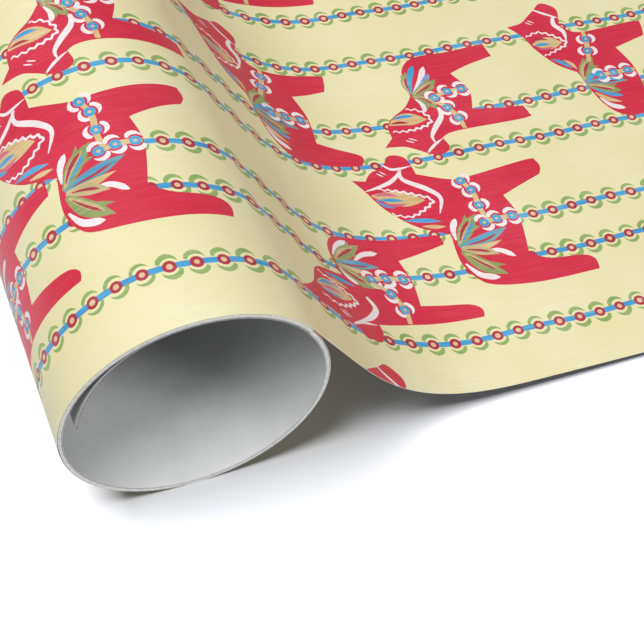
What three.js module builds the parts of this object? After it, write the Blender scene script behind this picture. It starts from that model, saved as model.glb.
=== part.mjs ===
// A partly unrolled roll of gift wrap, lying on a flat surface, in millimetres.
// X runs along the laid sheet, Y along the roll and Z up. The origin is under the
// middle of the whole object. The paper is one sheet, printed on its outer face and
// wound without a core. It is cut here into the stretches that it lies in.
import * as THREE from "three";

// The sheet
const webWidth = 762;
const sheetLength = 1524;
const paperThickness = 0.13;

// The wound part. Angles run clockwise from the roll's top, seen along +Y.
const rollRadius = 37.5; // outside of the outermost turn, where the sheet leaves it
const turnGap = 0.3; // air between one turn and the next
const fullTurns = 4;
const leaveAngle = 55.3; // where the sheet leaves the roll
const innerEndAngle = -82; // where the inner end stops, inside the innermost turn
const innerEndLift = 3.2; // how far the inner end stands off the turn around it
const innerLiftSpan = 65; // the angle over which that stand-off dies away

// The part between the roll and the surface
const sweepLength = 80; // paper that bends from the slope to nearly flat
const tailLength = 160; // paper that settles from there onto the surface
const tailShare = 0.07; // how much of the slope's fall the tail takes up

// The part that lies flat, cut in two
const freeEndShare = 0.38; // how much of it the free end takes

// How finely the curves are cut
const turnStep = 6; // degrees
const sweepSteps = 24;
const tailSteps = 12;
const stretchGap = 0.3; // between one stretch and the next

const pitch = paperThickness + turnGap;
const innerEndTotal = innerEndAngle - 360 * fullTurns;
const rad = THREE.MathUtils.degToRad;
const smooth = (u) => THREE.MathUtils.smoothstep(u, 0, 1);

// The middle of the paper's thickness at an angle on the roll, from the roll's axis
function woundRadius(angle) {
  const spiral = rollRadius - paperThickness / 2 - (pitch * (leaveAngle - angle)) / 360;
  return spiral - innerEndLift * (1 - smooth((angle - innerEndTotal) / innerLiftSpan));
}

// The roll rests on the underside of its outermost turn.
const axisHeight = woundRadius(-180) + paperThickness / 2;

// A station is a point on the middle of the sheet's thickness, with the angle in
// radians by which the sheet falls there as it runs on towards its free end.
function woundStation(angle) {
  const r = woundRadius(angle);
  return { x: r * Math.sin(rad(angle)), z: axisHeight + r * Math.cos(rad(angle)), fall: rad(angle) };
}

function woundStretch(from, to) {
  const stations = [woundStation(from)];
  const first = Math.floor(from / turnStep + 0.25) + 1;
  for (let k = first; k * turnStep < to - turnStep / 4; k++) stations.push(woundStation(k * turnStep));
  stations.push(woundStation(to));
  return stations;
}

// Runs on from a station over a length. fallAt gives the fall at a share of that length.
function runOn(start, length, steps, fallAt) {
  const stations = [start];
  let { x, z } = start;
  for (let k = 1; k <= steps; k++) {
    const middle = fallAt((k - 0.5) / steps);
    x += (Math.cos(middle) * length) / steps;
    z -= (Math.sin(middle) * length) / steps;
    stations.push({ x, z, fall: fallAt(k / steps) });
  }
  return stations;
}

const runLength = (stations) =>
  stations.slice(1).reduce((sum, s, k) => sum + Math.hypot(s.x - stations[k].x, s.z - stations[k].z), 0);

// The sweep eases from the slope's fall, and the tail's own small fall dies away evenly
// from the slope to the surface.
const leaving = woundStation(leaveAngle);
const easingLength = sweepLength + tailLength;
const tailFall = (run) => leaving.fall * tailShare * (1 - run / easingLength);
const sweepFall = (u) => leaving.fall * (1 - tailShare) * (1 - smooth(u)) + tailFall(u * sweepLength);
const settleFall = (u) => tailFall(sweepLength + u * tailLength);
const sweepFrom = (start) => runOn(start, sweepLength, sweepSteps, sweepFall);
const tailFrom = (start) => runOn(start, tailLength, tailSteps, settleFall);

const easingDrop = leaving.z - tailFrom(sweepFrom(leaving).at(-1)).at(-1).z;
const slopeLength = (leaving.z - paperThickness / 2 - easingDrop) / Math.sin(leaving.fall);
const slope = runOn(leaving, slopeLength, 1, () => leaving.fall);
const sweep = sweepFrom(slope.at(-1));
const tail = tailFrom(sweep.at(-1));

const woundLength = runLength(woundStretch(innerEndTotal, leaveAngle));
const laidLength = sheetLength - woundLength - slopeLength - easingLength;
const laidPoint = (run) => ({ x: tail.at(-1).x + run, z: paperThickness / 2, fall: 0 });

const turnStart = (k) => leaveAngle - 360 * k;
const stretches = {
  inner_end: woundStretch(innerEndTotal, turnStart(fullTurns)),
  inner_turn: woundStretch(turnStart(fullTurns), turnStart(fullTurns - 1)),
};
for (let k = fullTurns - 1; k > 1; k--) {
  stretches[`middle_turn_${fullTurns - k}`] = woundStretch(turnStart(k), turnStart(k - 1));
}
stretches.outer_turn = woundStretch(turnStart(1), leaveAngle);
stretches.lead_out_slope = slope;
stretches.lead_out_sweep = sweep;
stretches.lead_out_tail = tail;
const laidCut = laidLength * (1 - freeEndShare);
stretches.laid_sheet = [laidPoint(0), laidPoint(laidCut)];
stretches.free_end = [laidPoint(laidCut), laidPoint(laidLength)];

// Takes the gap to the next stretch off a stretch's far end
function shorten(stations) {
  const [a, b] = stations.slice(-2);
  const share = 1 - stretchGap / Math.hypot(b.x - a.x, b.z - a.z);
  const mix = (key) => a[key] + (b[key] - a[key]) * share;
  return [...stations.slice(0, -1), { x: mix("x"), z: mix("z"), fall: mix("fall") }];
}

function face(stations, side) {
  const off = (side * paperThickness) / 2;
  return stations.map((s) => new THREE.Vector2(s.x + off * Math.sin(s.fall), s.z + off * Math.cos(s.fall)));
}

function paper(name, stations) {
  const outline = [...face(stations, 1), ...face(stations, -1).reverse()];
  const geometry = new THREE.ExtrudeGeometry(new THREE.Shape(outline), { depth: webWidth, bevelEnabled: false });
  geometry.rotateX(Math.PI / 2).translate(0, webWidth / 2, 0);
  const material = new THREE.MeshStandardMaterial({ color: "#f3e7b8", roughness: 0.6, metalness: 0 });
  const mesh = new THREE.Mesh(geometry, material);
  mesh.name = name;
  return mesh;
}

const roll = new THREE.Group();
for (const [name, stations] of Object.entries(stretches)) {
  roll.add(paper(name, name === "free_end" ? stations : shorten(stations)));
}

const box = new THREE.Box3().setFromObject(roll);
roll.position.x = -(box.min.x + box.max.x) / 2;

export default roll;
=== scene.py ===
import math
import random
from bisect import bisect_right

import bpy
from mathutils import Matrix, Vector
from mathutils.geometry import delaunay_2d_cdt


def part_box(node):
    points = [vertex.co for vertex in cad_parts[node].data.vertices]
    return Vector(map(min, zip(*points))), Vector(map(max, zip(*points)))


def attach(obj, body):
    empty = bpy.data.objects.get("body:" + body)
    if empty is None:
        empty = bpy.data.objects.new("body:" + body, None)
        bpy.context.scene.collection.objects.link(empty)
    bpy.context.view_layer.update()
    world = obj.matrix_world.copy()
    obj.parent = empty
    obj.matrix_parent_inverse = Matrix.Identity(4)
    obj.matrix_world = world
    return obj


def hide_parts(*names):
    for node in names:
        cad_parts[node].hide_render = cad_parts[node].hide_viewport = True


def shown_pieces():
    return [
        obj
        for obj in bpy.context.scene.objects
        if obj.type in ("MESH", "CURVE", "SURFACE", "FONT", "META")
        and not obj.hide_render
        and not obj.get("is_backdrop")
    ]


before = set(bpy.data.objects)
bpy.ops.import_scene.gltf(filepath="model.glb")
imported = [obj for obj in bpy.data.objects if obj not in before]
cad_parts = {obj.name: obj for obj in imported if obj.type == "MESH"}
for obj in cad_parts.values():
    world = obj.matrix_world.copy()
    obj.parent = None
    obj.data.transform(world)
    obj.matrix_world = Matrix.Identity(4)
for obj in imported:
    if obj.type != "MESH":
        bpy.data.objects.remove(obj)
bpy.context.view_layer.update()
mm = 0.001
print("frame loaded:", len(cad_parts), "nodes")


# Camera: a long lens that looks down past the roll's near end
camera = {
    "lens": 85.56,
    "sensor": 36,
    "azimuth": 27.43,
    "elevation": 52.43,
    "roll": 7.95,
    "fromRollEnd": (-76.2, -209.6, 368.2),  # mm, from the roll's axis at its near end, over the floor
}

# The sheet, in mm and degrees. Angles run clockwise from the roll's top, seen along +Y.
sheet = {
    "width": 762,
    "length": 1524,
    "thickness": 0.13,
    "woundThickness": 0.37,  # each wound ribbon stands for two real turns that lie together
    "rollRadius": 37.5,
    "spiralDip": 0.17,  # how much less that is on the left, where the spiral is tighter
    "turnGap": 0.3,
    "fullTurns": 4,
    "leaveAngle": 55.3,
    "innerEndAngle": -82,
    "innerEndLift": 3.2,
    "innerLiftSpan": 65,
    "sweepLength": 80,
    "tailLength": 160,
    "tailShare": 0.07,
    "turnStep": 2.5,  # finer than the frame's, so that the roll is round
    "sweepSteps": 40,
    "tailSteps": 20,
}


def smooth(share):
    share = min(1, max(0, share))
    return share * share * (3 - 2 * share)


def woundRadius(angle):
    pitch = sheet["thickness"] + sheet["turnGap"]
    spiral = sheet["rollRadius"] - sheet["thickness"] / 2 - pitch * (sheet["leaveAngle"] - angle) / 360
    innerEnd = sheet["innerEndAngle"] - 360 * sheet["fullTurns"]
    lift = 1 - smooth((angle - innerEnd) / sheet["innerLiftSpan"])
    return spiral - sheet["innerEndLift"] * lift


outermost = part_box("outer_turn")
axisHeight = woundRadius(-180) + sheet["thickness"] / 2
rollAxisX = outermost[0].x / mm + sheet["rollRadius"] - sheet["spiralDip"]
nearEnd = outermost[0].y / mm


# A station is a point on the middle of the paper: its x from the roll's axis, its height, and its fall
def woundStations(start, end):
    steps = max(2, math.ceil((end - start) / sheet["turnStep"]))
    stations = []
    for k in range(steps + 1):
        angle = start + (end - start) * k / steps
        fall = math.radians(angle)
        r = woundRadius(angle)
        stations.append((r * math.sin(fall), axisHeight + r * math.cos(fall), fall))
    return stations


def runOn(start, length, steps, fallAt):
    stations = []
    x, z, fall = start
    for k in range(1, steps + 1):
        middle = fallAt((k - 0.5) / steps)
        x += math.cos(middle) * length / steps
        z -= math.sin(middle) * length / steps
        stations.append((x, z, fallAt(k / steps)))
    return stations


# The path of the printed stretch, from the start of the outermost turn to the sheet's free edge
def printedPath():
    s = sheet
    path = woundStations(s["leaveAngle"] - 360, s["leaveAngle"])
    leaving = path[-1]
    easing = s["sweepLength"] + s["tailLength"]

    def tailFall(run):
        return leaving[2] * s["tailShare"] * (1 - run / easing)

    def sweepFall(share):
        return leaving[2] * (1 - s["tailShare"]) * (1 - smooth(share)) + tailFall(share * s["sweepLength"])

    def settleFall(share):
        return tailFall(s["sweepLength"] + share * s["tailLength"])

    def ease(start):
        swept = runOn(start, s["sweepLength"], s["sweepSteps"], sweepFall)
        return swept + runOn(swept[-1], s["tailLength"], s["tailSteps"], settleFall)

    drop = leaving[1] - ease(leaving)[-1][1]
    slopeLength = (leaving[1] - s["thickness"] / 2 - drop) / math.sin(leaving[2])
    path += runOn(leaving, slopeLength, 1, lambda share: leaving[2])
    path += ease(path[-1])
    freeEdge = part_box("free_end")[1].x / mm - rollAxisX
    path.append((freeEdge, s["thickness"] / 2, 0))
    return path


path = printedPath()
arc = [0]
for a, b in zip(path, path[1:]):
    arc.append(arc[-1] + math.hypot(b[0] - a[0], b[1] - a[1]))
crest = max(range(len(path)), key=lambda k: path[k][1])
# The print runs along the paper up to the roll's crest. Past it the print keeps its pitch as seen
# from above, so it is drawn out where the paper slopes.
printRun = [arc[k] - arc[crest] if k < crest else path[k][0] - path[crest][0] for k in range(len(path))]
print("path: %.1f mm of printed paper, print from %.1f to %.1f mm" % (arc[-1], printRun[0], printRun[-1]))


# Drawing the print, in mm: u along the sheet from the roll's crest, v across it from the near edge
drawing = {
    "step": 1.1,  # between the points of a curve
    "mostSteps": 12,  # from one given point to the next
    "finestTip": 0.06,  # the least width of a brush stroke
    "zigzag": 2.6,  # the length of one zig and zag
    "straight": 1e-9,  # square mm, below which three points lie in a line
}


def curveThrough(points, closed=False, step=drawing["step"]):
    # a smooth curve through the points; a point with a third value is a sharp corner
    count = len(points)
    spans = count if closed else count - 1
    curve = []
    for k in range(spans):
        p1, p2 = points[k], points[(k + 1) % count]
        p0 = points[(k - 1) % count] if closed or k > 0 else p1
        p3 = points[(k + 2) % count] if closed or k + 2 < count else p2
        p0 = p1 if len(p1) > 2 else p0
        p3 = p2 if len(p2) > 2 else p3
        length = math.hypot(p2[0] - p1[0], p2[1] - p1[1])
        samples = max(1, min(drawing["mostSteps"], round(length / step)))
        straight = len(p1) > 2 and len(p2) > 2
        samples = 1 if straight else samples
        for j in range(samples):
            t = j / samples
            weights = (
                -t + 2 * t * t - t ** 3,
                2 - 5 * t * t + 3 * t ** 3,
                t + 4 * t * t - 3 * t ** 3,
                t ** 3 - t * t,
            )
            curve.append(tuple(
                sum(w * p[i] for w, p in zip(weights, (p0, p1, p2, p3))) / 2 for i in (0, 1)
            ))
    if not closed:
        curve.append(points[-1][:2])
    return curve


def turnedLeft(polygon):
    area = sum(a[0] * b[1] - b[0] * a[1] for a, b in zip(polygon, polygon[1:] + polygon[:1]))
    return polygon if area > 0 else polygon[::-1]


def hull(points):
    points = sorted(set(points))

    def half(row):
        kept = []
        for p in row:
            while len(kept) > 1 and (
                (kept[-1][0] - kept[-2][0]) * (p[1] - kept[-2][1])
                - (kept[-1][1] - kept[-2][1]) * (p[0] - kept[-2][0])
            ) <= drawing["straight"]:
                kept.pop()
            kept.append(p)
        return kept[:-1]

    return half(points) + half(points[::-1])


def brush(ink, points, width, start=0.0, end=0.0, belly=0.5, wave=0.0, step=drawing["step"]):
    # one brush stroke, thin at its start and end and as wide as width at its belly
    line = curveThrough(points, step=step)
    runs = [0]
    for a, b in zip(line, line[1:]):
        runs.append(runs[-1] + math.hypot(b[0] - a[0], b[1] - a[1]))
    rails = []
    for k, (u, v) in enumerate(line):
        a, b = line[max(0, k - 1)], line[min(len(line) - 1, k + 1)]
        size = math.hypot(b[0] - a[0], b[1] - a[1]) or 1
        across = (-(b[1] - a[1]) / size, (b[0] - a[0]) / size)
        t = runs[k] / runs[-1]
        if t < belly:
            share = start + (1 - start) * math.sin(math.pi / 2 * t / belly)
        else:
            share = end + (1 - end) * math.cos(math.pi / 2 * (t - belly) / (1 - belly))
        half = max(drawing["finestTip"] / 2, width / 2 * share)
        shift = wave * math.sin(runs[k] * 2 * math.pi / drawing["zigzag"])
        rails.append([(u + across[0] * (shift + h), v + across[1] * (shift + h)) for h in (half, -half)])
    shapes = []
    for a, b in zip(rails, rails[1:]):
        outline = hull(a + b)
        if len(outline) > 2:
            shapes.append((ink, outline))
    return shapes


def disc(ink, centre, radius, sides=12):
    outline = []
    for k in range(sides):
        angle = 2 * math.pi * (k + 0.5) / sides
        outline.append((centre[0] + radius * math.cos(angle), centre[1] + radius * math.sin(angle)))
    return [(ink, outline)]


# The commas that bend round the beads: blunt where they start, and thinning out along their sweep
comma = {
    "steps": 6,
    "thinsFrom": 0.5,  # as a share of its length
    "bluntEnd": 0.45,  # its depth there, as a share of the full depth
    "swell": (0.1, 1.4),  # where on a half wave its depth starts, and how fast it moves along it
    "shoulder": 0.9765,
    "tailPower": 0.8,
    "tip": 0.04,
    "opens": 0.25,  # mm, how much further from the bead its tail ends
}


def commaDepth(t):
    if t < comma["thinsFrom"]:
        first, gain = comma["swell"]
        return comma["bluntEnd"] + (1 - comma["bluntEnd"]) * math.sin(math.pi * (first + gain * t))
    left = (1 - t) / (1 - comma["thinsFrom"])
    return max(comma["tip"], comma["shoulder"] * left ** comma["tailPower"])


def crescent(ink, centre, inner, depth, start, sweep):
    outer, near = [], []
    for k in range(comma["steps"] + 1):
        t = k / comma["steps"]
        angle = math.radians(start + sweep * t)
        close = inner + comma["opens"] * t
        far = close + depth * commaDepth(t)
        near.append((centre[0] + close * math.cos(angle), centre[1] + close * math.sin(angle)))
        outer.append((centre[0] + far * math.cos(angle), centre[1] + far * math.sin(angle)))
    return [(ink, turnedLeft(outer + near[::-1]))]


def commaPair(ink, centre, style, along):
    # one comma on each side of a bead, turned to face each other
    shapes = []
    for opposite in (0, 180):
        start = along + style["commaStart"] - opposite
        shapes += crescent(ink, centre, style["commaGap"], style["commaDepth"], start, style["commaSweep"])
    return shapes


# The bands of beads that run along the sheet. Each row is its place across and where its beads start.
beads = {
    "repeat": (125.1, 146.4),
    "perRepeat": 17,
    "rows": ((18.2, -2.1), (44.2, 8.0), (60.7, 9.9), (92.1, -2.9), (109.0, 0.8), (140.0, 0.3)),
    "drift": 0.9,  # how far the beads crowd along the row
    "sway": 0.3,  # how far they stray across it
    "ringRadius": 1.8,
    "eyeRadius": 0.85,
    "eyeSides": 9,
    "linkWidth": 2.0,
    "linkTaper": 0.8,
    "commaGap": 2.55,
    "commaDepth": 1.45,
    "commaStart": 158,
    "commaSweep": -124,
    "lean": 9,  # degrees, the most that a pair of green commas leans
    "seed": 17,
}


def beadRows():
    draw = random.Random(beads["seed"])
    shapes = []
    count = beads["perRepeat"]
    pitch = beads["repeat"][0] / count
    taper = beads["linkTaper"]
    for across, first in beads["rows"]:
        phase = draw.uniform(0, 6.28)  # any part of a wave
        centres = []
        for k in range(count + 1):
            wave = 2 * math.pi * k / count
            drift = beads["drift"] * math.sin(wave + phase)
            sway = beads["sway"] * math.sin(3 * wave + phase)
            centres.append((first + pitch * k + drift, across + sway))
        for a, b in zip(centres, centres[1:]):
            shapes += brush("blueInk", [a, b], beads["linkWidth"], taper, taper, step=2 * drawing["step"])
        for centre in centres[:-1]:
            ring = beads["ringRadius"] * draw.uniform(0.93, 1.08)
            style = dict(beads, commaDepth=beads["commaDepth"] * draw.uniform(0.8, 1.15))
            shapes += commaPair("sprigInk", centre, style, draw.uniform(-beads["lean"], beads["lean"]))
            shapes += disc("madderInk", centre, ring)
            eye = beads["eyeRadius"] * draw.uniform(0.9, 1.1)
            shapes += disc("blushInk", centre, eye, beads["eyeSides"])
    return shapes


# The horses stand with their feet towards the free edge. An outline runs right round, and a point with
# a third value is a sharp corner. A stroke of the bridle is its points and width, and one of the mane or
# neck has its ink first. A strap is its line and the beads on it. A leaf of the fan is its ink, root, tip,
# width and bend, and then its veins, each with an ink, a width and how far it lies off the middle.
leapingHorse = {
    "outline": (
        (80.8, 86.5, 1), (85.6, 86.0, 1), (88.7, 89.5), (93.9, 91.7), (97.3, 95.6), (99.8, 96.1),
        (102.8, 94.5), (103.8, 91.4), (103.9, 86.4, 1), (113.9, 81.6), (120.6, 81.2), (143.0, 83.3),
        (145.8, 82.2), (146.2, 79.0), (144.5, 76.1, 1), (136.2, 73.3), (128.4, 70.5, 1), (129.5, 60.4),
        (125.9, 45.7, 1), (131.7, 42.0), (142.5, 40.4), (145.8, 37.8), (145.3, 33.7, 1), (125.1, 33.9),
        (110.5, 36.4), (105.2, 40.4), (102.8, 48.2), (104.4, 59.3, 1), (94.5, 65.0), (87.3, 73.3),
        (83.7, 81.1),
    ),
    "bridle": (
        (((94.2, 92.7), (97.0, 90.0), (103.8, 90.3)), 1.1),
        (((99.5, 89.1), (94.0, 84.8), (83.7, 81.6)), 1.5),
        (((98.9, 89.1), (98.6, 85.0), (104.6, 79.6), (107.6, 74.6), (104.6, 68.4)), 2.0),
    ),
    "eye": ((90.8, 89.2), (92.6, 87.4)),
    "maneEdge": (
        (88.6, 82.2), (94.2, 80.7), (99.5, 78.2), (104.6, 74.6), (100.6, 71.3), (94.6, 69.2), (88.8, 71.2),
    ),
    "mane": (
        ("ochreInk", ((85.0, 79.6), (93.4, 77.4), (102.3, 74.9)), 6.6),
        ("roseInk", ((86.0, 79.4), (90.2, 79.8), (94.0, 78.4)), 1.5),
        ("blueInk", ((86.4, 77.6), (91.6, 77.0), (95.2, 76.2)), 1.5),
        ("roseInk", ((86.6, 76.2), (91.8, 74.6), (96.0, 74.8)), 1.3),
        ("blueInk", ((85.8, 78.0), (87.6, 75.2), (90.8, 73.6)), 1.2),
    ),
    "neck": (
        ("blueInk", ((91.7, 67.9), (98.0, 66.9), (103.8, 65.2)), 1.9),
        ("ochreInk", ((96.6, 64.6), (100.6, 63.6), (104.4, 62.8)), 1.6),
    ),
    "straps": (
        (
            ((117.0, 80.8), (119.0, 74.2), (118.4, 67.2), (118.8, 62.0)),
            ((117.2, 80.0), (118.9, 75.4), (118.7, 68.6)),
        ),
        (((117.0, 61.0), (122.6, 61.8), (129.2, 61.4)), ((117.2, 61.2), (121.9, 61.8), (127.4, 61.6))),
    ),
    "fan": (
        ("whiteInk", (105.1, 56.6), (108.6, 65.2), 2.2, 0.9, ()),
        (
            "leafInk", (105.1, 54.0), (116.0, 65.4), 5.0, 0.6,
            (("blueInk", 0.85, -1.1), ("madderInk", 1.0, 0.9)),
        ),
        (
            "slateInk", (105.1, 53.8), (123.4, 57.6), 4.0, -0.9,
            (("blueInk", 0.7, 0.9), ("madderInk", 0.75, -0.4)),
        ),
        ("ochreInk", (105.6, 53.2), (119.6, 53.0), 2.4, -1.2, ()),
        ("whiteInk", (110.6, 49.6), (121.2, 45.6), 2.0, 2.0, ()),
        ("mossInk", (105.1, 52.6), (116.6, 47.8), 3.8, 0.6, (("madderInk", 0.8, 0.0),)),
        ("leafInk", (105.0, 51.8), (115.6, 39.6), 5.0, -1.2, (("madderInk", 0.7, 0.4),)),
        ("whiteInk", (104.0, 46.8), (112.6, 39.0), 2.4, -2.0, ()),
    ),
}

standingHorse = {
    "outline": (
        (127.5, 138.6), (121.8, 136.8), (118.0, 131.6), (116.5, 120.5, 1), (112.5, 116.0), (107.0, 112.8),
        (103.5, 109.4), (102.5, 103.4, 1), (98.5, 99.8, 1), (105.0, 98.9), (109.0, 96.4), (113.2, 93.3),
        (117.6, 92.9), (120.2, 95.2), (119.5, 99.7, 1), (126.0, 101.5), (151.5, 101.2), (153.8, 103.0),
        (153.3, 106.9, 1), (143.0, 108.3), (135.3, 109.9, 1), (138.0, 118.5), (135.0, 127.8, 1),
        (142.5, 130.3), (153.0, 132.5, 1), (152.5, 139.1, 1), (137.5, 138.3),
    ),
    "bridle": (
        (((112.0, 94.6), (115.4, 97.2), (119.5, 99.4)), 1.1),
        (((123.9, 113.4), (123.2, 109.2), (119.0, 104.6), (116.2, 100.9), (116.4, 97.4)), 2.0),
    ),
    "eye": ((106.8, 101.4), (109.2, 99.8)),
    "maneEdge": (
        (112.4, 115.0), (116.6, 113.6), (119.0, 109.0), (116.6, 106.4), (109.6, 105.4), (104.0, 106.2),
    ),
    "mane": (
        ("ochreInk", ((104.0, 109.4), (110.0, 110.7), (117.8, 109.0)), 5.6),
        ("blueInk", ((106.2, 111.6), (110.0, 112.2), (114.0, 111.4)), 1.5),
        ("madderInk", ((104.6, 109.8), (108.0, 109.8), (111.0, 108.8)), 1.2),
    ),
    "neck": (),
    "straps": (
        (((123.0, 116.9), (128.4, 119.6), (137.6, 119.8)), ((124.6, 118.1), (130.2, 119.9), (135.6, 119.9))),
        (((124.6, 115.6), (127.2, 112.4), (128.8, 107.0), (129.0, 102.0)), ((127.0, 112.5), (128.8, 107.0))),
    ),
    "fan": (
        ("leafInk", (117.4, 121.6), (119.6, 132.2), 3.4, 0.9, (("madderInk", 0.8, 0.0),)),
        ("blueInk", (117.4, 121.4), (123.4, 134.6), 2.2, 0.9, ()),
        ("whiteInk", (118.4, 122.0), (127.0, 133.4), 2.2, -0.6, ()),
        ("lilacInk", (117.6, 121.0), (127.4, 129.6), 2.2, -0.6, ()),
        ("leafInk", (117.4, 120.8), (128.6, 126.4), 4.2, -0.6, (("madderInk", 0.9, 0.0),)),
        ("leafInk", (117.4, 120.4), (123.6, 112.6), 4.0, 1.0, (("madderInk", 0.7, 0.3),)),
        ("whiteInk", (117.8, 119.0), (118.6, 112.2), 1.8, 0.9, ()),
    ),
}

strollingHorse = {
    "outline": (
        (34.9, 19.7, 1), (41.7, 26.7), (46.3, 36.0), (51.0, 39.8), (58.1, 41.3, 1), (57.6, 51.3),
        (61.4, 58.2),
        (68.2, 60.0), (84.0, 60.4), (98.8, 60.3), (100.6, 58.8), (100.5, 56.0, 1), (92.9, 54.3),
        (82.6, 51.7, 1), (83.6, 42.7), (82.2, 33.3, 1), (89.7, 32.7), (98.6, 31.4), (101.6, 28.6),
        (100.8, 26.0, 1), (83.2, 26.0), (73.9, 25.7), (63.7, 24.2, 1), (63.4, 20.4), (61.0, 16.6),
        (56.3, 17.0), (52.2, 19.2), (41.3, 19.3),
    ),
    "bridle": (
        (((52.9, 19.9), (57.0, 22.6), (62.6, 23.6)), 1.1),
        (((63.9, 35.0), (65.3, 30.7), (61.6, 26.2), (56.0, 22.6)), 2.0),
    ),
    "eye": ((49.6, 23.2), (52.0, 21.6)),
    "maneEdge": (
        (47.2, 36.0), (53.0, 35.2), (58.8, 31.6), (55.0, 27.8), (49.4, 25.0), (44.2, 25.2),
    ),
    "mane": (
        ("ochreInk", ((44.0, 28.6), (50.4, 31.4), (57.6, 31.4)), 6.0),
        ("blueInk", ((44.8, 29.6), (49.0, 32.8), (53.0, 33.2)), 1.4),
        ("roseInk", ((45.2, 28.6), (50.2, 31.0), (54.6, 31.2)), 1.3),
        ("blueInk", ((45.0, 27.6), (49.6, 28.6), (53.2, 29.4)), 1.2),
    ),
    "neck": (
        ("blueInk", ((50.6, 38.0), (56.4, 38.7), (61.6, 38.2)), 1.9),
        ("ochreInk", ((51.0, 36.2), (54.4, 36.4), (58.0, 35.8)), 1.6),
    ),
    "straps": (
        (((68.0, 42.7), (74.6, 44.4), (83.2, 43.8)), ((69.4, 43.2), (74.8, 44.3), (80.8, 44.0))),
        (((68.6, 41.6), (73.8, 38.6), (76.0, 31.6), (75.4, 26.2)), ((74.0, 38.0), (76.0, 31.8))),
    ),
    "fan": (
        ("whiteInk", (58.6, 49.6), (66.6, 58.4), 2.2, 0.9, ()),
        ("leafInk", (58.4, 47.6), (70.8, 57.4), 4.6, 0.6, (("madderInk", 0.9, 0.0),)),
        ("whiteInk", (66.0, 49.8), (76.4, 54.8), 2.0, 1.4, ()),
        ("slateInk", (58.4, 46.8), (74.6, 48.8), 3.6, 0.8, (("blueInk", 0.7, 0.6), ("madderInk", 0.7, -0.5))),
        ("ochreInk", (58.6, 46.4), (70.6, 46.2), 2.0, -0.5, ()),
        ("leafInk", (58.4, 46.2), (69.8, 39.6), 5.2, -0.8, (("madderInk", 1.0, 0.3),)),
        ("whiteInk", (58.6, 44.6), (63.4, 39.6), 1.8, -0.7, ()),
    ),
}

restingHorse = {
    "outline": (
        (165.2, 144.8, 1), (171.1, 145.6), (175.4, 148.6), (179.4, 151.4), (182.4, 153.7), (185.4, 152.4),
        (187.4, 148.8), (184.9, 141.7, 1), (186.4, 138.3), (191.9, 135.8), (212.8, 136.3), (214.7, 134.0),
        (213.0, 128.5, 1), (199.7, 125.2, 1), (201.5, 115.0), (200.0, 103.1, 1), (212.2, 98.6),
        (214.3, 96.0), (212.5, 93.0, 1), (196.5, 92.6), (187.0, 93.4), (181.6, 101.4), (179.9, 117.1, 1),
        (174.2, 122.8), (170.2, 131.6), (168.6, 138.8),
    ),
    "bridle": (
        (((178.6, 151.2), (181.8, 148.2), (186.2, 144.8)), 1.1),
        (((184.4, 146.0), (182.8, 142.0), (184.6, 137.6), (183.4, 132.8)), 2.0),
    ),
    "eye": ((172.8, 145.6), (174.8, 143.8)),
    "maneEdge": (
        (169.8, 138.2), (175.0, 139.6), (180.0, 136.4), (182.9, 131.9), (178.4, 129.6), (172.2, 127.6),
    ),
    "mane": (
        ("ochreInk", ((170.4, 134.0), (175.4, 133.6), (181.6, 132.7)), 6.2),
        ("madderInk", ((170.8, 135.6), (174.4, 136.2), (177.2, 135.0)), 1.2),
        ("blueInk", ((170.6, 133.4), (174.0, 133.4), (177.2, 132.8)), 1.4),
        ("roseInk", ((171.2, 131.6), (174.6, 131.0), (177.4, 131.2)), 1.2),
    ),
    "neck": (
        ("blueInk", ((173.6, 125.6), (176.8, 123.0), (179.0, 119.4)), 1.8),
        ("ochreInk", ((178.0, 124.2), (179.8, 121.4), (180.6, 118.4)), 1.5),
    ),
    "straps": (
        (((191.6, 136.0), (190.6, 131.0), (188.4, 125.4), (186.6, 121.0)), ((190.9, 132.0), (188.7, 126.2))),
        (((186.4, 113.6), (192.6, 113.7), (201.2, 113.4)), ((187.6, 113.6), (192.8, 113.7), (198.3, 113.6))),
    ),
    "fan": (
        ("leafInk", (180.6, 112.4), (188.8, 123.0), 5.0, 1.0, (("madderInk", 0.9, 0.0),)),
        ("blueInk", (180.8, 111.6), (189.0, 115.6), 2.2, 0.8, ()),
        (
            "slateInk", (180.6, 111.2), (196.0, 108.8), 3.6, 0.8,
            (("blueInk", 0.8, 0.5), ("madderInk", 0.7, -0.5)),
        ),
        ("leafInk", (180.6, 110.6), (191.4, 104.8), 4.4, -0.6, (("madderInk", 0.9, 0.0),)),
        ("blueInk", (181.6, 108.2), (190.6, 102.4), 1.8, -0.8, ()),
        ("ochreInk", (181.4, 106.2), (188.8, 99.6), 2.0, -0.9, ()),
        ("whiteInk", (182.0, 103.4), (188.6, 96.6), 2.2, -1.4, ()),
    ),
}


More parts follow.
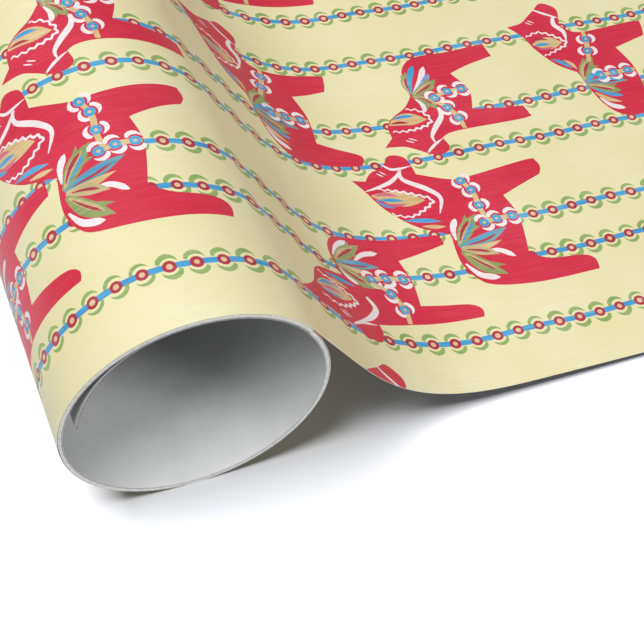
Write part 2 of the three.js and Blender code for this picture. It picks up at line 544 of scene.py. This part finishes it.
# How the harness and the saddle leaves are painted. A taper is a stroke's width at its start and end,
# as shares of its full width, and then where along it that full width is.
harness = {
    "bandWidth": 1.9,
    "bandTaper": (0.8, 0.8),
    "beadRadius": 1.7,
    "eyeRadius": 0.6,
    "eyeSides": 8,
    "commaGap": 2.2,
    "commaDepth": 1.5,
    "commaStart": 148,
    "commaSweep": -112,
    "bridleTaper": (0.5, 0.15, 0.42),
}
hair = {
    "taper": (0.1, 0.0, 0.55),
    "edgeWidth": 0.95,
    "edgeTaper": (0.6, 0.6),
    "edgeWave": 0.42,
    "edgeStep": 0.6,
}
lashes = {
    "width": 0.55,
    "taper": (0.5, 0.3),
    "apart": (1.3, 0.65),
}
leaves = {
    "taper": (0.25, 0.0, 0.5),
    "bluntTaper": (0.25, 0.0, 0.8),
    "bluntInks": ("whiteInk", "blueInk", "lilacInk"),
    "raggedTips": ((1, 0.86), (-1, 0.74)),  # the side, and how far along the leaf the tip reaches
    "tipFrom": 0.45,  # where along the leaf a side tip starts
    "tipOut": 0.62,  # how far out it ends, as a share of the leaf's width
    "tipWidth": 0.42,
    "tipTaper": (0.9, 0.0, 0.3),
    "streak": (0.05, 0.82),
    "streakOffset": 0.16,
    "streakTaper": (0.3, 0.0, 0.6),
    "vein": (0.14, 0.76),
    "veinGain": 1.3,
    "veinTaper": (0.3, 0.0, 0.75),
}


def strap(line, places):
    # an ochre band with blue beads on it, and a pair of white commas round each bead
    shapes = brush("ochreInk", line, harness["bandWidth"], *harness["bandTaper"])
    for place in places:
        ahead = min(line, key=lambda p: math.dist(p, place))
        k = min(max(1, line.index(ahead)), len(line) - 1)
        a, b = line[k - 1], line[k]
        along = math.degrees(math.atan2(b[1] - a[1], b[0] - a[0]))
        shapes += commaPair("whiteInk", place, harness, along)
        shapes += disc("blueInk", place, harness["beadRadius"])
        shapes += disc("ochreInk", place, harness["eyeRadius"], harness["eyeSides"])
    return shapes


def fanLeaf(ink, root, tip, width, bend, veins):
    # a leaf that springs from the saddle, with the veins painted on it
    du, dv = tip[0] - root[0], tip[1] - root[1]
    size = math.hypot(du, dv)
    side = (-dv / size, du / size)

    def spine(start, end, offset):
        points = []
        for t in (start, (start + end) / 2, end):
            off = (bend + offset) * math.sin(math.pi * t)
            points.append((root[0] + du * t + side[0] * off, root[1] + dv * t + side[1] * off))
        return points

    taper = leaves["bluntTaper"] if ink in leaves["bluntInks"] else leaves["taper"]
    shapes = brush(ink, spine(0, 1, 0), width, *taper)
    if ink == "leafInk":
        # ragged side tips, and a paler streak where the brush was loaded with ochre
        start = spine(0, 2 * leaves["tipFrom"], 0)[1]
        tipWidth = width * leaves["tipWidth"]
        for turn, reach in leaves["raggedTips"]:
            out = turn * width * leaves["tipOut"]
            end = [root[0] + du * reach + side[0] * out, root[1] + dv * reach + side[1] * out]
            shapes += brush(ink, [start, end], tipWidth, *leaves["tipTaper"])
        streak = spine(*leaves["streak"], width * leaves["streakOffset"])
        shapes += brush("mossInk", streak, tipWidth, *leaves["streakTaper"])
    for veinInk, veinWidth, offset in veins:
        vein = spine(*leaves["vein"], offset)
        shapes += brush(veinInk, vein, veinWidth * leaves["veinGain"], *leaves["veinTaper"])
    return shapes


def horse(kind):
    shapes = [("redInk", turnedLeft(curveThrough(kind["outline"], closed=True)))]
    for ink, line, width in kind["mane"] + kind["neck"]:
        shapes += brush(ink, line, width, *hair["taper"])
    zigzag = {"wave": hair["edgeWave"], "step": hair["edgeStep"]}
    shapes += brush("whiteInk", kind["maneEdge"], hair["edgeWidth"], *hair["edgeTaper"], **zigzag)
    for leaf in kind["fan"]:
        shapes += fanLeaf(*leaf)
    for line, places in kind["straps"]:
        shapes += strap(line, places)
    for line, width in kind["bridle"]:
        shapes += brush("whiteInk", line, width, *harness["bridleTaper"])
    du, dv = lashes["apart"]
    for k in range(2):
        lash = [(u + du * k, v + dv * k) for u, v in kind["eye"]]
        shapes += brush("whiteInk", lash, lashes["width"], *lashes["taper"])
    return shapes


motif = beadRows()
for kind in (strollingHorse, leapingHorse, standingHorse, restingHorse):
    motif += horse(kind)
print("print: %d painted shapes in each repeat" % len(motif))


# Colour: sRGB hex to linear
def linear(hexColour):
    values = [int(hexColour[k:k + 2], 16) / 255 for k in (1, 3, 5)]
    return tuple(v / 12.92 if v <= 0.04045 else ((v + 0.055) / 1.055) ** 2.4 for v in values) + (1,)


def addNode(tree, kind, inputs=None, **settings):
    node = tree.nodes.new(kind)
    for name, value in settings.items():
        setattr(node, name, value)
    for name, value in (inputs or {}).items():
        if isinstance(value, bpy.types.NodeSocket):
            tree.links.new(value, node.inputs[name])
        else:
            node.inputs[name].default_value = value
    return node


def newMaterial(name):
    material = bpy.data.materials.new(name)
    material.use_nodes = True
    tree = material.node_tree
    tree.nodes.clear()
    where = addNode(tree, "ShaderNodeTexCoord").outputs["Object"]
    return material, tree, where


def finishMaterial(tree, colour, roughness, normal, ior, specular=0.5):
    shader = addNode(tree, "ShaderNodeBsdfPrincipled", {
        "Base Color": colour,
        "Roughness": roughness,
        "Normal": normal,
        "IOR": ior,
        "Specular IOR Level": specular,
    })
    addNode(tree, "ShaderNodeOutputMaterial", {"Surface": shader.outputs["BSDF"]})


# Gift wrap ink: gouache artwork printed on satin paper. The brush leaves streaks along the sheet,
# the pigment pools in soft patches, and the paper's calendered surface keeps a low, even sheen.
inkFinish = {
    "streakWidth": 0.6,  # mm, one bristle mark; real ones are finer and wouldn't show
    "streakLength": 12,  # mm
    "patchSize": 22,  # mm
    "grain": 0.45,  # mm, the paper's tooth
    "roughness": (0.4, 0.52),
    "ior": 1.48,
}


def gouacheInk(name, deep, body, light, streaks=1.0):
    material, tree, where = newMaterial(name)
    alongScale = 1 / (inkFinish["streakLength"] * mm)
    acrossScale = 1 / (inkFinish["streakWidth"] * mm)
    stretched = addNode(tree, "ShaderNodeMapping", {
        "Vector": where,
        "Scale": (alongScale, acrossScale, alongScale),
    }).outputs["Vector"]
    bristles = addNode(tree, "ShaderNodeTexNoise", {
        "Vector": stretched, "Scale": 1.0, "Detail": 3.0, "Roughness": 0.6,
    }).outputs["Fac"]
    patches = addNode(tree, "ShaderNodeTexNoise", {
        "Vector": where, "Scale": 1 / (inkFinish["patchSize"] * mm), "Detail": 2.0,
    }).outputs["Fac"]
    tooth = addNode(tree, "ShaderNodeTexNoise", {
        "Vector": where, "Scale": 1 / (inkFinish["grain"] * mm), "Detail": 2.0,
    }).outputs["Fac"]
    streaky = addNode(tree, "ShaderNodeMapRange", {
        "Value": bristles, "From Min": 0.3, "From Max": 0.7,
        "To Min": 0.5 - 0.5 * streaks, "To Max": 0.5 + 0.5 * streaks,
    }).outputs["Result"]
    blend = addNode(tree, "ShaderNodeMix", {
        "Factor": 0.45, "A": patches, "B": streaky,
    }, data_type="FLOAT").outputs["Result"]
    ramp = addNode(tree, "ShaderNodeValToRGB", {"Fac": blend})
    stops = ramp.color_ramp.elements
    stops[0].position = 0.28
    stops[0].color = linear(deep)
    stops[1].position = 0.72
    stops[1].color = linear(light)
    middle = stops.new(0.5)
    middle.color = linear(body)
    low, high = inkFinish["roughness"]
    sheen = addNode(tree, "ShaderNodeMapRange", {
        "Value": tooth, "From Min": 0.3, "From Max": 0.7, "To Min": low, "To Max": high,
    }).outputs["Result"]
    relief = addNode(tree, "ShaderNodeBump", {
        "Height": tooth, "Strength": 0.12, "Distance": 0.02 * mm,
    }).outputs["Normal"]
    finishMaterial(tree, ramp.outputs["Color"], sheen, relief, inkFinish["ior"])
    return material


# Wood-pulp paper, uncoated: the white back of the wrap. Fibres lie every way, so it is matt and
# very slightly mottled.
def uncoatedPaper():
    material, tree, where = newMaterial("uncoatedPaper")
    fibreSize = 0.6  # mm, coarser than real fibres so that the mottle shows
    fibres = addNode(tree, "ShaderNodeTexNoise", {
        "Vector": where, "Scale": 1 / (fibreSize * mm), "Detail": 4.0, "Roughness": 0.7,
    }).outputs["Fac"]
    cloudSize = 9  # mm, from one thicker patch of the pulp to the next
    clouds = addNode(tree, "ShaderNodeTexNoise", {
        "Vector": where, "Scale": 1 / (cloudSize * mm), "Detail": 2.0,
    }).outputs["Fac"]
    blend = addNode(tree, "ShaderNodeMix", {"Factor": 0.5, "A": fibres, "B": clouds}, data_type="FLOAT")
    ramp = addNode(tree, "ShaderNodeValToRGB", {"Fac": blend.outputs["Result"]})
    ramp.color_ramp.elements[0].position = 0.3
    ramp.color_ramp.elements[0].color = linear("#d6d8d8")
    ramp.color_ramp.elements[1].position = 0.7
    ramp.color_ramp.elements[1].color = linear("#e2e3e3")
    dull = addNode(tree, "ShaderNodeMapRange", {
        "Value": fibres, "From Min": 0.3, "From Max": 0.7, "To Min": 0.7, "To Max": 0.85,
    }).outputs["Result"]
    relief = addNode(tree, "ShaderNodeBump", {"Height": fibres, "Strength": 0.2, "Distance": 0.02 * mm})
    finishMaterial(tree, ramp.outputs["Color"], dull, relief.outputs["Normal"], 1.5, 0.35)
    return material


# The guillotined edge of the same paper: bare pulp, a little greyer where the blade has pressed it
def cutEdge():
    material, tree, where = newMaterial("cutEdge")
    nickSize = 1.5  # mm, from one nick of the blade to the next
    nicks = addNode(tree, "ShaderNodeTexNoise", {
        "Vector": where, "Scale": 1 / (nickSize * mm), "Detail": 3.0,
    }).outputs["Fac"]
    ramp = addNode(tree, "ShaderNodeValToRGB", {"Fac": nicks})
    ramp.color_ramp.elements[0].position = 0.35
    ramp.color_ramp.elements[0].color = linear("#dcdedd")
    ramp.color_ramp.elements[1].position = 0.65
    ramp.color_ramp.elements[1].color = linear("#f4f5f4")
    relief = addNode(tree, "ShaderNodeBump", {"Height": nicks, "Strength": 0.15, "Distance": 0.02 * mm})
    finishMaterial(tree, ramp.outputs["Color"], 0.8, relief.outputs["Normal"], 1.5, 0.3)
    return material


inks = {
    "creamInk": gouacheInk("creamInk", "#f0e6ad", "#f2eab9", "#f7f1ca", 0.4),
    "redInk": gouacheInk("redInk", "#d22a44", "#db354d", "#e0445a", 0.7),
    "blueInk": gouacheInk("blueInk", "#3f93cf", "#4fa8dc", "#6cbbe2"),
    "sprigInk": gouacheInk("sprigInk", "#8bab60", "#9bb76e", "#adc283"),
    "leafInk": gouacheInk("leafInk", "#879b5c", "#98a768", "#adb27c"),
    "mossInk": gouacheInk("mossInk", "#bfb07c", "#cdbb8b", "#dacb9e"),
    "ochreInk": gouacheInk("ochreInk", "#d6b57c", "#e1c38e", "#ecd3a6"),
    "whiteInk": gouacheInk("whiteInk", "#f4e2e6", "#fbf0f0", "#fffaf8"),
    "madderInk": gouacheInk("madderInk", "#a8303c", "#b63c49", "#c65460"),
    "roseInk": gouacheInk("roseInk", "#cf5f7c", "#dc7690", "#e890a4"),
    "blushInk": gouacheInk("blushInk", "#e3b892", "#ecc7a4", "#f3d8bb"),
    "slateInk": gouacheInk("slateInk", "#5c94ab", "#6fa5b5", "#8ab6bc"),
    "lilacInk": gouacheInk("lilacInk", "#7f90d6", "#8f9fe0", "#a6b2e8"),
    "uncoatedPaper": uncoatedPaper(),
    "cutEdge": cutEdge(),
}
inkNames = list(inks)
print("materials:", len(inks))


def placeIn(row, value):
    # the step of a rising row that a value lies in, and how far through it
    k = min(max(0, bisect_right(row, value) - 1), len(row) - 2)
    return k, (value - row[k]) / (row[k + 1] - row[k])


# Where a print coordinate lies on the sheet: the point on the middle of the paper and the fall there
def placeOnPath(run):
    k, share = placeIn(printRun, run)
    return [a + (b - a) * share for a, b in zip(path[k], path[k + 1])]


def sheetPoint(station, across, side):
    x, z, fall = station
    off = side * sheet["thickness"] / 2
    return Vector((rollAxisX + x + off * math.sin(fall), nearEnd + across, z + off * math.cos(fall))) * mm


def paperMesh(name, vertices, faces, slots, falls):
    mesh = bpy.data.meshes.new(name)
    mesh.from_pydata(vertices, [], faces)
    for ink in inkNames:
        mesh.materials.append(inks[ink])
    mesh.polygons.foreach_set("material_index", slots)
    mesh.polygons.foreach_set("use_smooth", [True] * len(faces))
    mesh.update()
    # the paper bends smoothly, so its faces take their normals from the path; cut edges stay flat
    edgeSlot = inkNames.index("cutEdge")
    normals = []
    for polygon in mesh.polygons:
        if polygon.material_index == edgeSlot:
            normals += [tuple(polygon.normal)] * polygon.loop_total
            continue
        fall = falls[polygon.vertices[0]]
        facing = polygon.normal.x * math.sin(fall) + polygon.normal.z * math.cos(fall)
        side = 1 if facing > 0 else -1
        for k in polygon.vertices:
            normals.append((side * math.sin(falls[k]), 0, side * math.cos(falls[k])))
    mesh.normals_split_custom_set(normals)
    piece = bpy.data.objects.new(name, mesh)
    bpy.context.scene.collection.objects.link(piece)
    return piece


# The printed stretch is cut into panels, which are named along the sheet and numbered across it
panels = {
    "acrossCount": 4,
    "alongCount": 4,
    "names": ("turned_print", "sloping_print", "settled_print", "free_print"),
    "nodes": (
        ("outer_turn",),
        ("outer_turn", "lead_out_slope", "lead_out_sweep", "lead_out_tail"),
        ("lead_out_tail", "laid_sheet"),
        ("laid_sheet", "free_end"),
    ),
    "leastStrip": 0.05,  # mm, between a panel's end and the first ruling that bends it
    "weld": 1e-5,  # mm, within which two points of the print are one
    "onEdge": 1e-3,  # mm, within which a point lies on a panel's edge
}


def copiesOver(first, last, low, high, repeat):
    # the shifts that bring a shape between low and high over the stretch from first to last
    shifts = []
    for k in range(math.floor((first - high) / repeat), math.ceil((last - low) / repeat) + 1):
        if high + k * repeat >= first and low + k * repeat <= last:
            shifts.append(k * repeat)
    return shifts


def cutPrint(rulings, firstAcross, lastAcross):
    # the flat panel, cut where its inks meet and along its rulings: points, faces and an ink for each
    points, edges, polygons, slots = [], [], [], []

    def addPolygon(ink, outline):
        start = len(points)
        points.extend(Vector(p) for p in outline)
        polygons.append(list(range(start, len(points))))
        slots.append(inkNames.index(ink))

    firstRun, lastRun = rulings[0], rulings[-1]
    addPolygon("creamInk", [
        (firstRun, firstAcross), (lastRun, firstAcross), (lastRun, lastAcross), (firstRun, lastAcross),
    ])
    for run in rulings[1:-1]:
        start = len(points)
        points.extend((Vector((run, firstAcross)), Vector((run, lastAcross))))
        edges.append((start, start + 1))
    repeatU, repeatV = beads["repeat"]
    for ink, outline in motif:
        us, vs = zip(*outline)
        for du in copiesOver(firstRun, lastRun, min(us), max(us), repeatU):
            for dv in copiesOver(firstAcross, lastAcross, min(vs), max(vs), repeatV):
                addPolygon(ink, [(u + du, v + dv) for u, v in outline])
    flat, _, cells, _, _, origins = delaunay_2d_cdt(points, edges, polygons, 0, panels["weld"])
    kept = [(cell, slots[max(origin)]) for cell, origin in zip(cells, origins) if 0 in origin]
    used = sorted({k for cell, _ in kept for k in cell})
    index = {k: n for n, k in enumerate(used)}
    faces = [[index[k] for k in cell] for cell, _ in kept]
    return [flat[k] for k in used], faces, [slot for _, slot in kept]


def backStrips(coords, rim, rulings, firstAcross, lastAcross):
    # the back is one face between each two rulings, which takes in every point along the panel's edges
    def along(axis, value):
        row = [a for a in rim if abs(coords[a][axis] - value) < panels["onEdge"]]
        return sorted((coords[a][1 - axis], a) for a in row)

    def ranks(row):
        return [min(range(len(row)), key=lambda k: abs(row[k][0] - run)) for run in rulings]

    near, far = along(1, firstAcross), along(1, lastAcross)
    left, right = along(0, rulings[0]), along(0, rulings[-1])
    nearRanks, farRanks = ranks(near), ranks(far)
    strips = []
    for k in range(len(rulings) - 1):
        loop = near[nearRanks[k]:nearRanks[k + 1] + 1]
        if k == len(rulings) - 2:
            loop = loop + right
        loop = loop + far[farRanks[k]:farRanks[k + 1] + 1][::-1]
        if k == 0:
            loop = loop + left[::-1]
        strips.append(list(dict.fromkeys(a for _, a in loop)))
    return strips


# A printed panel of the sheet, with its cut edges and the paper's white back behind it
def printedPanel(name, firstRun, lastRun, firstAcross, lastAcross):
    margin = panels["leastStrip"]
    bends = [run for run in printRun if firstRun + margin < run < lastRun - margin]
    rulings = [firstRun] + bends + [lastRun]
    coords, faces, slots = cutPrint(rulings, firstAcross, lastAcross)
    stations = [placeOnPath(run) for run, _ in coords]
    vertices = [sheetPoint(station, across, 1) for station, (_, across) in zip(stations, coords)]
    falls = [station[2] for station in stations]
    directed = {(a, b) for face in faces for a, b in zip(face, face[1:] + face[:1])}
    rim = sorted((a, b) for a, b in directed if (b, a) not in directed)
    behind = {}
    for a, _ in rim:
        behind[a] = len(vertices)
        vertices.append(sheetPoint(stations[a], coords[a][1], -1))
        falls.append(falls[a])
    for a, b in rim:
        faces.append([b, a, behind[a], behind[b]])
        slots.append(inkNames.index("cutEdge"))
    for strip in backStrips(coords, behind, rulings, firstAcross, lastAcross):
        faces.append([behind[a] for a in reversed(strip)])
        slots.append(inkNames.index("uncoatedPaper"))
    return paperMesh(name, vertices, faces, slots, falls)


# A plain ribbon of the wound sheet, from one angle to another
def woundRibbon(name, start, end):
    stations = woundStations(start, end)
    width = sheet["width"]
    bulk = sheet["woundThickness"] / sheet["thickness"]
    vertices, falls = [], []
    for station in stations:
        for across, side in ((0, bulk), (width, bulk), (width, -bulk), (0, -bulk)):
            vertices.append(sheetPoint(station, across, side))
            falls.append(station[2])
    faces, slots = [], []
    # the inner end's outside takes the grey-white back paper instead of the cream print, as painted shade for
    # the dark gap that it lies in
    outside = "uncoatedPaper" if name == "wound_inner_end" else "creamInk"
    skins = (outside, "cutEdge", "uncoatedPaper", "cutEdge")
    for k in range(len(stations) - 1):
        for corner, skin in enumerate(skins):
            a, b = 4 * k + corner, 4 * k + (corner + 1) % 4
            faces.append([a, a + 4, b + 4, b])
            slots.append(inkNames.index(skin))
    last = 4 * (len(stations) - 1)
    faces += [[0, 1, 2, 3], [last + 3, last + 2, last + 1, last]]
    slots += [inkNames.index("cutEdge")] * 2
    run = sum(math.dist(a[:2], b[:2]) for a, b in zip(stations, stations[1:]))
    return paperMesh(name, vertices, faces, slots, falls), run


def declare(piece, nodes):
    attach(piece, "root")
    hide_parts(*nodes)


def buildWoundTurns():
    leave, turns = sheet["leaveAngle"], sheet["fullTurns"]
    starts = {"inner_end": sheet["innerEndAngle"] - 360 * turns, "inner_turn": leave - 360 * turns}
    starts["middle_turn_1"] = leave - 360 * (turns - 1)
    starts["middle_turn_2"] = leave - 360 * (turns - 2)
    names = list(starts)
    ends = [starts[n] for n in names[1:]] + [leave - 360]
    for k, (node, end) in enumerate(zip(names, ends)):
        piece, run = woundRibbon("wound_" + node, starts[node], end)
        declare(piece, [node])
        print("wound ribbon", node, "%.0f mm long" % run)


def buildPrintedSheet():
    count = panels["alongCount"]
    cuts = []
    for k in range(count + 1):
        j, share = placeIn(arc, arc[-1] * k / count)
        cuts.append(printRun[j] + (printRun[j + 1] - printRun[j]) * share)
    width = sheet["width"] / panels["acrossCount"]
    for k in range(count):
        for row in range(panels["acrossCount"]):
            name = "%s_%d" % (panels["names"][k], row + 1)
            piece = printedPanel(name, cuts[k], cuts[k + 1], width * row, width * (row + 1))
            declare(piece, panels["nodes"][k])
        print("printed panels", panels["names"][k], len(piece.data.polygons), "faces in the last")


# The studio, in metres and watts: a pale board, and soft lights that each reach only what they are for
studio = {
    "floorSize": 6.0,
    "floorColour": "#f8faff",
    "mottle": 0.025,  # the size of the board's faint roller marks
    "sky": "#ffffff",
    "skyStrength": 0.1,
    "aim": 0.04,  # the height that the lights point at, at the roll's near end
    "lights": {  # power, size and place
        "board": (54, 1.0, (-1.0, -0.3, 1.8)),
        "key": (30, 1.0, (-1.15, -0.7, 1.75)),
        "overhead": (17, 3.0, (-0.5, 0.1, 2.2)),
        "hollow": (9, 0.5, (0.5, -1.2, 1.15)),
        "edge": (21, 0.8, (0.45, -1.8, 0.2)),
    },
}


def placeCamera():
    data = bpy.data.cameras.new("camera")
    data.lens = camera["lens"]
    data.sensor_width = camera["sensor"]
    data.clip_start = 0.01
    data.clip_end = 50
    seat = bpy.data.objects.new("camera", data)
    bpy.context.scene.collection.objects.link(seat)
    azimuth, elevation = math.radians(camera["azimuth"]), math.radians(camera["elevation"])
    ahead = Vector((
        math.sin(azimuth) * math.cos(elevation),
        math.cos(azimuth) * math.cos(elevation),
        -math.sin(elevation),
    ))
    turned = ahead.to_track_quat("-Z", "Y").to_matrix().to_4x4()
    tilt = Matrix.Rotation(math.radians(camera["roll"]), 4, "Z")
    dx, dy, dz = camera["fromRollEnd"]
    place = Vector((rollAxisX + dx, nearEnd + dy, dz)) * mm
    seat.matrix_world = Matrix.Translation(place) @ turned @ tilt
    bpy.context.scene.camera = seat


def softLight(name, target, reached):
    power, size, source = studio["lights"][name]
    data = bpy.data.lights.new(name, "AREA")
    data.energy = power
    data.size = size
    light = bpy.data.objects.new(name, data)
    light.location = source
    light.rotation_mode = "QUATERNION"
    light.rotation_quaternion = (Vector(target) - Vector(source)).to_track_quat("-Z", "Y")
    bpy.context.scene.collection.objects.link(light)
    group = bpy.data.collections.new(name + "Reaches")
    for piece in reached:
        group.objects.link(bpy.data.objects[piece])
    light.light_linking.receiver_collection = group


# Painted studio board: matt white emulsion laid on with a roller, which leaves it faintly mottled
def paintedBoard():
    material, tree, where = newMaterial("paintedBoard")
    mottle = addNode(tree, "ShaderNodeTexNoise", {
        "Vector": where, "Scale": 1 / studio["mottle"], "Detail": 3.0,
    }).outputs["Fac"]
    relief = addNode(tree, "ShaderNodeBump", {"Height": mottle, "Strength": 0.02})
    finishMaterial(tree, linear(studio["floorColour"]), 0.9, relief.outputs["Normal"], 1.5, 0.1)
    return material


def buildFloor():
    half = studio["floorSize"] / 2
    mesh = bpy.data.meshes.new("floor")
    corners = [(-half, -half, 0), (half, -half, 0), (half, half, 0), (-half, half, 0)]
    mesh.from_pydata(corners, [], [(0, 1, 2, 3)])
    floor = bpy.data.objects.new("floor", mesh)
    bpy.context.scene.collection.objects.link(floor)
    floor.visible_diffuse = False  # it throws no light back up under the paper
    floor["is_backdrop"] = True
    mesh.materials.append(paintedBoard())


def buildStudio():
    scene = bpy.context.scene
    scene.view_settings.view_transform = "Standard"
    buildFloor()
    # the board's light burns it out to white outside the shadow; the key and the overhead panel light the
    # paper, a small light the roll's hollow, and a low one the cut edges at its near end
    paper = [piece.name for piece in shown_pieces()]
    reached = {
        "board": ["floor"],
        "key": paper,
        "overhead": paper,
        "hollow": ["wound_inner_turn"],
        "edge": [name for name in paper if not name.startswith("wound_inner")],
    }
    target = (rollAxisX * mm, nearEnd * mm, studio["aim"])
    for name, pieces in reached.items():
        softLight(name, target, pieces)
    world = bpy.data.worlds.new("studio")
    world.use_nodes = True
    sky = world.node_tree.nodes["Background"]
    sky.inputs["Color"].default_value = linear(studio["sky"])
    sky.inputs["Strength"].default_value = studio["skyStrength"]
    scene.world = world


placeCamera()
buildWoundTurns()
buildPrintedSheet()
buildStudio()
print("studio ready")
